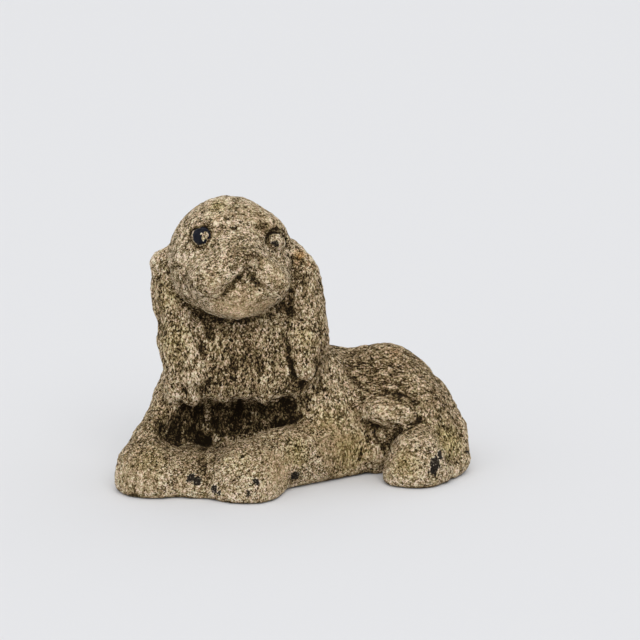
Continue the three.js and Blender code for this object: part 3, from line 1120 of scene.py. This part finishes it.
@dataclass
class Stains:
    """Where algae, soot, bare stone, rust and dark and black marks lie, from the photograph. Part of the soot
    and of the dark and black marks is painted shade, and one bare mark is a painted highlight.

    An edge's raggedness is the length of its waves in millimetres and how far they carry it.
    """

    spots: dict[Weather, tuple[Mark, ...]] = field(default_factory=lambda: {
        Weather.ALGAE: marks(
            (450, 440, 26, 0.75), (405, 465, 20, 0.5), (350, 450, 30, 0.55), (295, 452, 22, 0.45),
            (240, 462, 20, 0.25), (172, 340, 26, 0.45), (215, 345, 16, 0.3), (165, 300, 18, 0.4),
            (330, 420, 26, 0.35), (150, 455, 22, 0.35), (215, 206, 16, 0.5), (305, 340, 18, 0.3),
        ),
        # Soot; the broad marks on the mane are painted shade.
        Weather.SOOT_AND_SHADE: marks(
            (380, 370, 60, 1), (440, 400, 40, 0.8), (322, 345, 36, 0.7), (312, 300, 34, 0.4),
            (163, 310, 42, 0.5), (172, 360, 30, 0.4), (245, 352, 46, 0.8), (405, 455, 24, 0.3),
            (340, 445, 44, 0.35), (193, 456, 18, 0.7), (204, 470, 13, 0.5), (240, 388, 40, 0.5),
            (300, 385, 24, 0.4), (246, 252, 20, 0.6), (262, 226, 11, 0.7), (236, 252, 12, 0.6),
            (186, 276, 13, 0.5), (200, 210, 10, 0.4), (270, 228, 9, 0.6), (292, 300, 11, 0.6),
            (200, 318, 14, 0.5),
        ),
        # Bare, cleaner stone; the small mark at the right of the nose is a painted highlight.
        Weather.BARE_AND_HIGHLIGHT: marks(
            (240, 308, 34, 1), (222, 306, 18, 0.8), (264, 305, 18, 0.8), (264, 262, 9, 0.7),
            (212, 285, 18, 0.5), (278, 275, 20, 0.6), (280, 470, 34, 0.8), (258, 215, 26, 0.5),
            (400, 460, 22, 0.4), (385, 412, 18, 0.35), (300, 425, 24, 0.3), (345, 450, 42, 0.5),
            (322, 430, 28, 0.4),
        ),
        Weather.RUST: marks(
            (217, 221, 8, 0.7), (303, 260, 13, 1), (245, 440, 10, 0.4), (395, 352, 12, 0.4),
        ),
        # Black chips, and black in the holes of the mouth and of the bare eye, where it is painted shade.
        Weather.BLACK: marks(
            (191, 477, 6, 1, 0.8), (197, 480, 6.2, 1, 0.8), (214, 489, 5.2, 1, 0.6),
            (219, 493.5, 3.8, 1, 0.4), (257, 481, 5, 1, 0.6), (248.5, 493, 5.2, 0.8, 0.4),
            (296, 476, 6.6, 0.95, 0.7), (283.5, 456, 2.2, 0.8, 0.3), (374.4, 433, 2.6, 1, 0.8),
            (441, 454, 6.6, 1, 1.2), (437.5, 463, 8.8, 1, 1.6), (434.5, 471, 7, 1, 1.2),
            (468.8, 452.4, 3, 1, 0.6), (276, 244, 5.4, 1, 0.5), (239, 277.5, 2.2, 0.8, 0.4),
            (251, 277.5, 2.2, 0.8, 0.4), (255.5, 284.5, 2.6, 0.7, 0.5),
        ),
        # Dark stains on the face, and painted shade: in the hollow under the mane, between the paws, under
        # the jaw, round the knee and in the creases of ears, eyes, nose and mouth.
        Weather.SHADE_AND_STAIN: marks(
            (384.6, 447, 6, 0.4, 0.6), (276, 244, 5.5, 0.8), (419, 418, 8, 0.45, 0.3),
            (400, 396, 12, 0.3, 0.3), (414, 402, 10, 0.45, 0.4), (290, 312, 9, 0.6, 0.3),
            (318, 365, 9, 0.5, 0.5), (300, 388, 14, 0.5, 0.4), (290, 365, 10, 0.35, 0.3),
            (204, 440, 13, 0.8), (192, 431, 14, 1), (160, 423, 10, 0.8), (176, 421, 15, 0.9),
            (241, 249, 15, 0.22), (264, 226, 8, 0.35), (233, 256, 7, 0.35), (252, 247, 7, 0.3),
            (257, 254, 6, 0.3), (172, 266, 7, 0.55), (209, 226, 6, 0.4), (239, 278, 5, 0.75),
            (251.5, 276.5, 5, 0.5), (257, 285, 4, 0.6), (235, 429, 14, 0.85), (218, 424, 14, 1),
            (230, 418, 13, 0.9), (176, 432, 15, 0.9), (202, 447, 10, 0.4), (190, 447, 10, 0.5),
            (256, 424, 13, 0.85), (276, 420, 11, 0.8), (161, 428, 12, 0.9), (184, 410, 13, 0.8),
            (172, 436, 10, 0.7), (246, 289, 10, 0.25), (301, 262, 6, 0.6), (304, 276, 6, 0.6),
            (245, 372, 26, 0.3), (290, 385, 18, 0.35), (215, 385, 18, 0.3), (195, 413, 19, 1),
            (218, 408, 18, 1), (240, 410, 18, 1), (262, 409, 16, 1), (284, 407, 15, 1),
            (302, 400, 11, 0.8), (211, 335, 8, 0.5), (206, 318, 12, 0.5), (212, 330, 12, 0.45),
            (288, 325, 10, 0.4),
        ),
    })

    hard_edge: Pair = (0.05, 0.45)
    black_raggedness: Pair = (3.4, 0.6)
    stain_raggedness: Pair = (14.0, 0.45)

    def lay(self, skin: StoneSkin, sight: Sight) -> None:
        """Presses the marks into the skin and keeps a layer for each kind.

        Args:
            skin: The stone's surface.
            sight: Finds places from pixels.
        """
        height = np.zeros(len(skin.points))
        for kind, spots in self.spots.items():
            hard = kind is Weather.BLACK
            cover = np.zeros(len(skin.points))
            for mark in spots:
                ragged = sight.gap(mark) * self.raggedness(skin, hard)
                soft = fade(ragged, mark.radius * MM)
                shown = step(soft, *self.hard_edge) if hard else soft
                cover = np.maximum(cover, shown * mark.strength)
                height = np.minimum(height, -mark.depth * soft)
            skin.layers[kind.value] = cover
        skin.raise_by(height * MM)

    def raggedness(self, skin: StoneSkin, hard: bool) -> np.ndarray:
        """How much the edge of a mark wanders, as a factor on the distance."""
        wave, sway = self.black_raggedness if hard else self.stain_raggedness
        return 1 + sway * wander(skin.points, wave)


@dataclass
class Shade:
    """How little open sky each part of the surface sees; the colour is darkened there, as dirt and painted
    shade.

    Rays start a small lift off the skin, and those that graze it don't count. A far wall takes less
    light than a near one, and the ground takes the least.
    """

    rays: int = 40
    reach: float = 70 * MM
    samples: int = 9000
    seed: int = 31
    lift: float = 0.8 * MM
    grazing: float = 0.05
    far_loss: float = 0.5
    ground_loss: float = 0.35
    spread: int = 4
    rounds: int = 4

    def directions(self) -> np.ndarray:
        """Spreads the rays evenly over a ball.

        Returns:
            One direction in each row.
        """
        index = np.arange(self.rays) + 0.5
        height = 1 - 2 * index / self.rays
        turn = math.pi * (1 + math.sqrt(5)) * index
        level = np.sqrt(1 - height * height)
        return np.stack([level * np.cos(turn), level * np.sin(turn), height], 1)

    def measure(self, skin: StoneSkin) -> np.ndarray:
        """How closed in each point is.

        Args:
            skin: The stone's surface.

        Returns:
            From 0 in the open to 1 in a deep hollow, for each point.
        """
        chance = np.random.default_rng(self.seed)
        chosen = chance.choice(len(skin.points), self.samples, replace=False)
        search = skin.tree()
        places = KDTree(self.samples)
        closed = np.zeros(self.samples)
        aims = self.directions()
        for row, index in enumerate(chosen):
            point = skin.points[index]
            normal = skin.normals[index]
            places.insert(point, row)
            facing = aims @ normal
            start = Vector(point + normal * self.lift)
            total = 0.0
            lost = 0.0
            for aim, share in zip(aims, facing):
                if share <= self.grazing:
                    continue
                total += share
                gone = search.ray_cast(start, Vector(aim), self.reach)[3]
                if gone is not None:
                    lost += share * (1 - self.far_loss * gone / self.reach)
                elif aim[2] < -self.grazing and point[2] / -aim[2] < self.reach:
                    lost += self.ground_loss * share
            closed[row] = lost / total
        places.balance()
        means = np.array([
            np.mean([closed[row] for _, row, _ in places.find_n(point, self.spread)])
            for point in skin.points
        ])
        return skin.evened(means, self.rounds)


@dataclass(frozen=True)
class StoneFinish:
    """The colours and grain of the weathered cast stone, with its painted shade and highlight, in linear
    light. Lengths are in millimetres.

    After the colours come the sizes of its spots, and then how far each of them tells.
    """

    pit: Triple = (0.012, 0.007, 0.0025)
    shadow: Triple = (0.056, 0.037, 0.015)
    umber: Triple = (0.182, 0.129, 0.063)
    sand: Triple = (0.42, 0.318, 0.188)
    buff: Triple = (0.67, 0.53, 0.37)
    cream: Triple = (0.96, 0.85, 0.71)
    algae: Triple = (0.84, 0.86, 0.52)
    # Tint of the soot and of the painted shade on the mane.
    soot: Triple = (0.86, 0.825, 0.785)
    blush: Triple = (1.0, 0.95, 0.88)
    rust: Triple = (0.92, 0.68, 0.42)
    rosy: Triple = (1.0, 0.915, 0.89)
    mossy: Triple = (0.925, 0.96, 0.84)
    paint: Triple = (0.006, 0.007, 0.012)
    # Black of the chips and of the holes, where it is painted shade.
    mark: Triple = (0.013, 0.010, 0.008)
    grain: float = 1.25
    patch: float = 6.5
    dust: float = 0.85
    hue: float = 2.8
    grain_share: float = 0.76
    dust_share: float = 1.95
    patch_share: float = 0.65
    head_patches: float = 1.1
    down_stretch: Triple = (1, 1, 1.8)
    along_stretch: Triple = (1.6, 1, 1)
    level: float = 0.545
    sooted_and_shaded: float = 0.18
    bleached_and_highlit: float = 0.10
    gloomy: float = 0.53
    sunk: float = 0.18
    crest: float = 0.10
    tooled: float = 0.10
    swollen: float = 0.05
    lichen: float = 0.22
    black_share: float = 0.97
    roughness: float = 0.94
    relief: float = 0.65
    relief_depth: float = 0.6
    gloss: float = 0.12

    def build(self) -> bpy.types.Material:
        """Makes the node material.

        Returns:
            The material.
        """
        shader = Shader(STONE_SLOT)
        place = shader.node("ShaderNodeTexCoord").out("Object")
        speckle = self.speckle(shader, place)
        colour = self.stained(shader, place, self.stone(shader, speckle))
        # Black chips, and painted shade in the holes of the mouth and the bare eye.
        black_spots = shader.layer(Weather.BLACK.value) - 0.6 * speckle
        black_cover = self.black_share * black_spots.over(0.08, 0.55)
        colour = shader.blend(black_cover, colour, self.mark)
        # The eye's black paint; its upper edge is painted shadow under the lid.
        painted = (shader.layer("paint") - 0.35 * speckle).over(0.25, 0.5)
        colour = shader.blend(painted, colour, self.paint)
        rough = self.roughness - 0.60 * painted - 0.06 * black_cover
        height = speckle * (1 - painted) + 0.6 * self.cloud(shader, place, self.dust, 2)
        relief = {"Height": height, "Strength": self.relief, "Distance": self.relief_depth * MM}
        bump = shader.node("ShaderNodeBump", {}, relief).out()
        return shader.finish({
            "Base Color": colour, "Roughness": rough, "Normal": bump, "Specular IOR Level": self.gloss,
        })

    def stone(self, shader: Shader, speckle: Value) -> bpy.types.NodeSocket:
        """The stone's colour: paler or darker by its grains and dirt, with painted shade in hollows, folds
        and creases, darker in the fur's strokes, and paler on bare places, crests and bulges.

        Args:
            shader: The material.
            speckle: The grains.

        Returns:
            The colour.
        """
        bare = shader.layer(Weather.BARE_AND_HIGHLIGHT.value)
        soot = shader.layer(Weather.SOOT_AND_SHADE.value)
        crevice = shader.layer("crevice")
        fold = shader.layer("fold")
        # Painted shade and dirt: darker where little open sky is seen, under the marked dark places and
        # creases, and in the folds.
        open_air = 1 - 0.65 * shader.layer("hollow").over(0.55, 0.95)
        unshaded_and_clean = open_air * (1 - shader.layer(Weather.SHADE_AND_STAIN.value)) * (1 - shader.layer("dirt_and_shade"))
        shade_and_grime = 1 - unshaded_and_clean * (1 - 0.5 * fold.over(0.54, 0.98))
        level = self.level + (speckle - 0.5) * (1 - 0.5 * bare) * (1 - 0.3 * shade_and_grime)
        # Soot and the painted shade on the mane darken; bare stone and the painted highlight on the nose
        # lighten.
        level = level - self.sooted_and_shaded * soot + self.bleached_and_highlit * bare - self.gloomy * shade_and_grime
        # Dirt and painted shade in small crevices; small crests are paler.
        level = level - self.sunk * crevice.over(0.52, 0.85)
        level = level + self.crest * (1 - crevice.over(0.22, 0.48))
        level = level - self.tooled * shader.layer("tooled")
        level = level + self.swollen * (1 - fold.over(0.1, 0.5))
        stops = [
            (0.02, self.pit), (0.20, self.shadow), (0.38, self.umber),
            (0.58, self.sand), (0.76, self.buff), (1.0, self.cream),
        ]
        return shader.node("ShaderNodeValToRGB", {"stops": stops}, {"Fac": level.clear()}).out("Color")

    def stained(
        self, shader: Shader, place: bpy.types.NodeSocket, colour: bpy.types.NodeSocket
    ) -> bpy.types.NodeSocket:
        """Lays algae, soot with painted shade on the mane, bare places with a painted highlight on the nose,
        rust and a change of hue over the stone.

        Args:
            shader: The material.
            place: The coordinates.
            colour: The stone's own colour.

        Returns:
            The stained colour.
        """
        patches = self.cloud(shader, place, 24, 3)
        lichen = self.cloud(shader, place, 8, 4).over(0.52, 0.7)
        algae = shader.layer(Weather.ALGAE.value) * (0.35 + 1.3 * patches) + self.lichen * lichen
        rust = shader.layer(Weather.RUST.value) * patches.over(0.4, 0.6)
        coats = (
            (algae.clear(), self.algae),
            (shader.layer(Weather.SOOT_AND_SHADE.value), self.soot),
            (shader.layer(Weather.BARE_AND_HIGHLIGHT.value), self.blush),
            (rust.clear(), self.rust),
        )
        for cover, tint in coats:
            colour = shader.blend(cover, colour, tint, "MULTIPLY")
        hue = self.cloud(shader, place, self.hue, 3).over(0.38, 0.62)
        return shader.blend(1.0, colour, shader.blend(hue, self.rosy, self.mossy), "MULTIPLY")

    def cloud(self, shader: Shader, place: bpy.types.NodeSocket, size: float, detail: int) -> Value:
        """A soft noise with spots of about one size, in millimetres."""
        inputs = {"Vector": place, "Scale": 1 / (size * MM), "Detail": detail, "Roughness": 0.6}
        return shader.node("ShaderNodeTexNoise", {}, inputs).value("Fac")

    def grains(
        self, shader: Shader, place: bpy.types.NodeSocket, stretch: Triple
    ) -> Value:
        """Sand grains and pits, drawn out along one way.

        Args:
            shader: The material.
            place: The coordinates.
            stretch: How many times longer than wide the grains are along x, y and z.

        Returns:
            From 0 for a pit to 1 for a pale grain.
        """
        scale = tuple(1 / factor for factor in stretch)
        drawn = shader.node("ShaderNodeMapping", {"vector_type": "POINT"}, {"Vector": place, "Scale": scale})
        settings = {"feature": "F1", "voronoi_dimensions": "3D"}
        inputs = {"Vector": drawn.out(), "Scale": 1 / (self.grain * MM), "Randomness": 1.0}
        cells = shader.node("ShaderNodeTexVoronoi", settings, inputs)
        chance = shader.node("ShaderNodeSeparateColor", {}, {0: cells.out("Color")}).value(0)
        patch = self.cloud(shader, drawn.out(), self.patch, 3)
        dust = self.cloud(shader, drawn.out(), self.dust, 2)
        blotch = self.patch_share + self.head_patches * shader.layer("blotched")
        spotted = 0.5 + self.grain_share * (chance - 0.5) + blotch * (patch - 0.5)
        return spotted + self.dust_share * (dust - 0.5)

    def speckle(self, shader: Shader, place: bpy.types.NodeSocket) -> Value:
        """The grains of the whole surface: round on head and feet, and drawn out along the coat elsewhere.

        Args:
            shader: The material.
            place: The coordinates.

        Returns:
            From 0 for a pit to 1 for a pale grain.
        """
        spots = self.grains(shader, place, (1, 1, 1))
        down = self.grains(shader, place, self.down_stretch)
        along = self.grains(shader, place, self.along_stretch)
        upright = shader.layer("upright")
        lying = shader.layer("lying")
        mixed = spots + upright.over(0.45, 0.6) * (down - spots)
        return mixed + lying.over(0.45, 0.6) * (along - mixed)


@dataclass
class SpanielCasting:
    """The whole statue, one casting: form, face, fur, grain, stains and finish.

    Crevices and folds are told by rounds of evening and a depth in millimetres. Bands and rises are
    heights over the ground.
    """

    camera: PhotoCamera
    skin: StoneSkin = field(default_factory=StoneSkin)
    face: Face = field(default_factory=Face)
    modelling: Modelling = field(default_factory=Modelling)
    fur: Fur = field(default_factory=Fur)
    grain: Grain = field(default_factory=Grain)
    stains: Stains = field(default_factory=Stains)
    shade: Shade = field(default_factory=Shade)
    finish: StoneFinish = field(default_factory=StoneFinish)
    crevice: tuple[int, float] = (6, 1.6)
    fold: tuple[int, float] = (70, 6.0)
    head_rise: Pair = (150 * MM, 185 * MM)
    foot_band: Pair = (20 * MM, 80 * MM)
    neck_band: Pair = (150 * MM, 190 * MM)
    hidden_algae: float = 0.45
    top_soot: float = 0.6
    # How dark the band along the ground is: dirt and painted contact shadow.
    ground_shadow_and_dirt: float = 0.7
    foot_wave: float = 9.0

    def build(self) -> bpy.types.Object:
        """Carves the piece and dresses it.

        Returns:
            The finished piece.
        """
        skin = self.skin
        skin.form(self.face.axes.is_face)
        sight = Sight(self.camera, skin)
        self.face.smooth_muzzle(skin)
        sight.look()
        self.modelling.work(skin, sight)
        sight.look()
        hollow = self.shade.measure(skin)
        self.face.carve(skin, sight)
        sight.look()
        self.keep_lay()
        skin.layers["tooled"] = self.fur.tool(skin)
        skin.layers["paint"] = self.face.paint(skin, sight)
        self.stains.lay(skin, sight)
        self.grain.roughen(skin)
        # Darkens the colour where little sky is seen: dirt and painted shade.
        skin.layers["hollow"] = hollow
        skin.layers["crevice"] = self.crevices(*self.crevice)
        skin.layers["fold"] = self.crevices(*self.fold)
        skin.layers["blotched"] = step(skin.points[:, 2], *self.head_rise)
        self.weather_hidden_sides()
        piece = skin.write()
        piece.data.materials.clear()
        piece.data.materials.append(self.finish.build())
        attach(piece, "root")
        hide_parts(STATUE)
        return piece

    def keep_lay(self) -> None:
        """Keeps which way the grains are drawn out: down the mane and ears, and along the back."""
        along, depth = self.fur.flow(self.skin)
        furry = step(depth, 0.45, 0.75)
        self.skin.layers["upright"] = furry * step(np.abs(along[:, 2]), 0.55, 0.8)
        self.skin.layers["lying"] = furry * step(np.abs(along[:, 0]), 0.6, 0.85)

    def crevices(self, rounds: int, depth: float) -> np.ndarray:
        """Hollows and crests of the finished carving.

        Args:
            rounds: How far the stone is evened to tell them, so how wide they are.
            depth: How deep a full one is, in millimetres.

        Returns:
            From 0 on a crest over one half on level stone to 1 in a hollow.
        """
        skin = self.skin
        facing = unit(skin.evened(skin.normals, 4))
        sunk = np.sum((skin.evened(skin.points, rounds) - skin.points) * facing, axis=1)
        return np.clip(0.5 + sunk / (depth * MM), 0, 1)

    def weather_hidden_sides(self) -> None:
        """Gives the sides that the photograph doesn't show the same weather, and plainer, and darkens a band
        along the ground all round, as dirt and painted contact shadow.
        """
        skin = self.skin
        behind = step(skin.normals[:, 1], 0.0, 0.6)
        low = 1 - step(skin.points[:, 2], *self.foot_band)
        upward = step(skin.normals[:, 2], 0.35, 0.9) * (1 - step(skin.points[:, 2], *self.neck_band))
        algae = skin.layers[Weather.ALGAE.value]
        soot = skin.layers[Weather.SOOT_AND_SHADE.value]
        skin.layers[Weather.ALGAE.value] = np.maximum(algae, self.hidden_algae * behind * low)
        skin.layers[Weather.SOOT_AND_SHADE.value] = np.maximum(soot, self.top_soot * upward)
        # A darker band along the ground: dirt and painted contact shadow.
        foot = skin.points[:, 2] / MM + 3 * wander(skin.points, self.foot_wave)
        skin.add_dirt_and_shade(self.ground_shadow_and_dirt * (1 - step(foot, 0.6, 4.0)))


def main() -> None:
    """Builds the statue and its studio, and reports each piece."""
    logging.basicConfig(level=logging.INFO, format="%(name)s: %(message)s")
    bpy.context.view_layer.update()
    bpy.context.scene.view_settings.view_transform = "Standard"
    camera = PhotoCamera()
    camera.build()
    Studio().build()
    log.info("camera, floor and lights are in place")
    piece = SpanielCasting(camera).build()
    log.info("%s has %d points and %d faces", piece.name, len(piece.data.vertices), len(piece.data.polygons))
    piece.data.calc_loop_triangles()
    log.info("%s has %d triangles", piece.name, len(piece.data.loop_triangles))
    bpy.context.view_layer.update()


if __name__ == "__main__":
    main()
